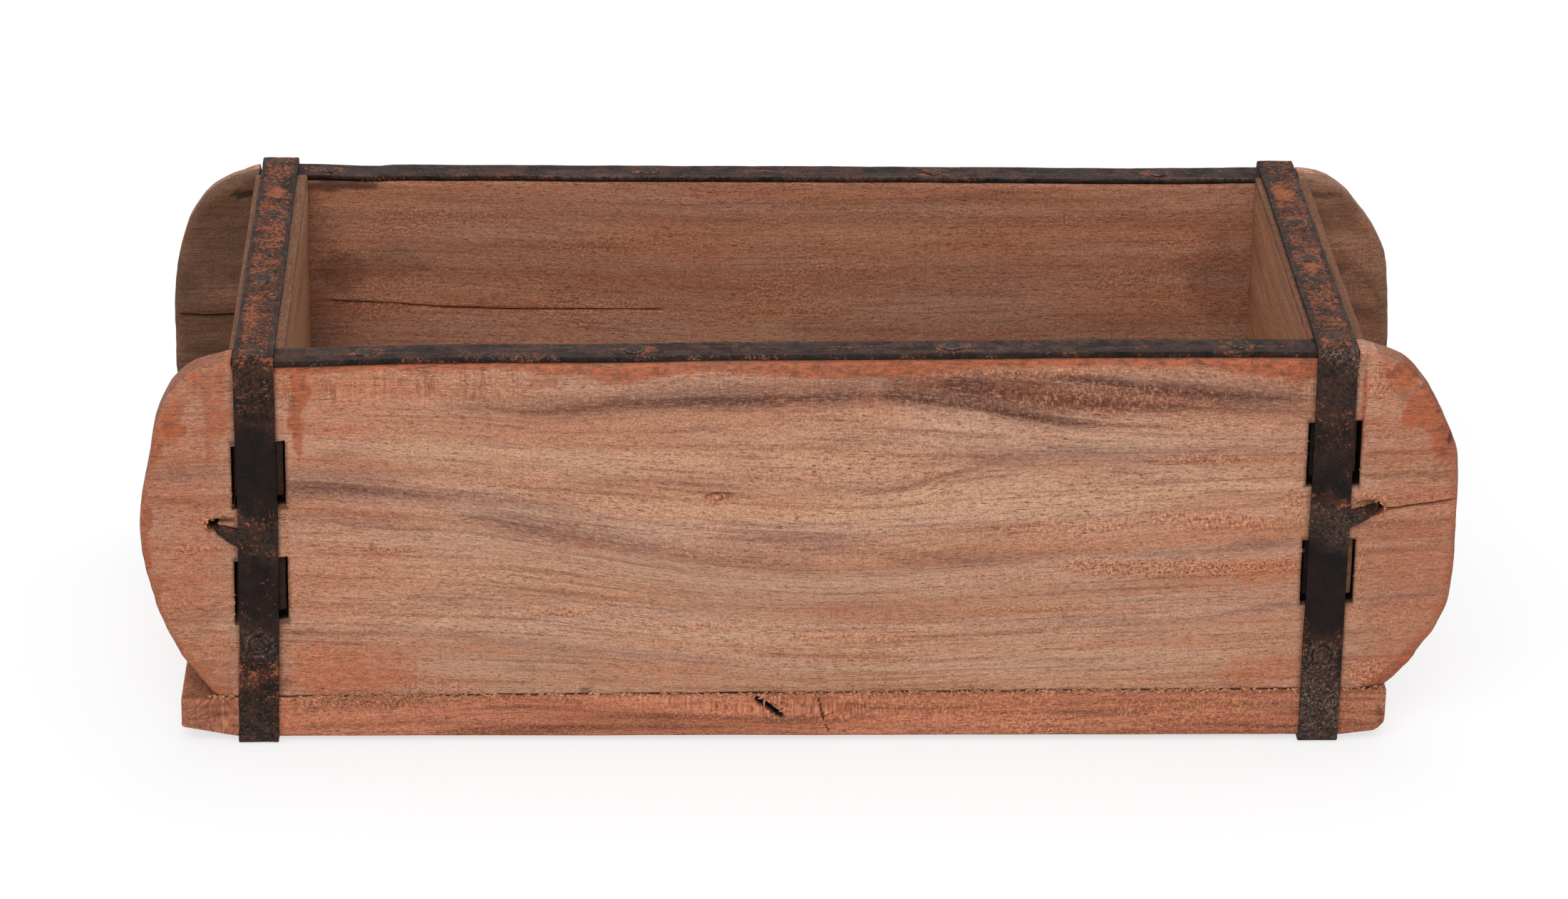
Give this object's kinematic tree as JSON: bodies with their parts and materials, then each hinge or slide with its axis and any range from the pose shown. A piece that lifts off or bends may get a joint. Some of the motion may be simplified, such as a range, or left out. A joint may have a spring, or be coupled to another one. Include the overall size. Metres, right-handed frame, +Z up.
{
  "type": "wooden crate",
  "caption": "Small open hardwood crate in the form of a brick mould: eared side boards, tenoned end boards, a base board, nailed iron rim strips and folded iron bands.",
  "frame": {"origin": "on the ground under the middle of the overall length and width", "axes": "+X along the crate's length towards the end with the longer ears, -Y towards the front face seen in the picture, +Z up"},
  "size_m": [0.31, 0.1354, 0.1021],
  "materials": {
    "side_wood": "bare, worn, clay-stained",
    "end_wood": "bare, greyed, worn",
    "base_wood": "bare, worn, clay-stained",
    "band_iron": "rusted, waxed",
    "strip_iron": "rusted, waxed",
    "nail_iron": "rusted, hammered"
  },
  "bodies": {
    "root": {"front_board": "side_wood", "back_board": "side_wood", "left_end_board": "end_wood", "right_end_board": "end_wood", "base_board": "base_wood", "front_rim_strip": "strip_iron", "back_rim_strip": "strip_iron", "left_band": "band_iron", "right_band": "band_iron", "front_rim_nails": "nail_iron", "back_rim_nails": "nail_iron", "left_top_nails": "nail_iron", "right_top_nails": "nail_iron", "left_face_nails": "nail_iron", "right_face_nails": "nail_iron", "front_base_nails": "nail_iron", "back_base_nails": "nail_iron", "end_base_nails": "nail_iron", "left_under_nails": "nail_iron", "right_under_nails": "nail_iron"}
  },
  "joints": []
}
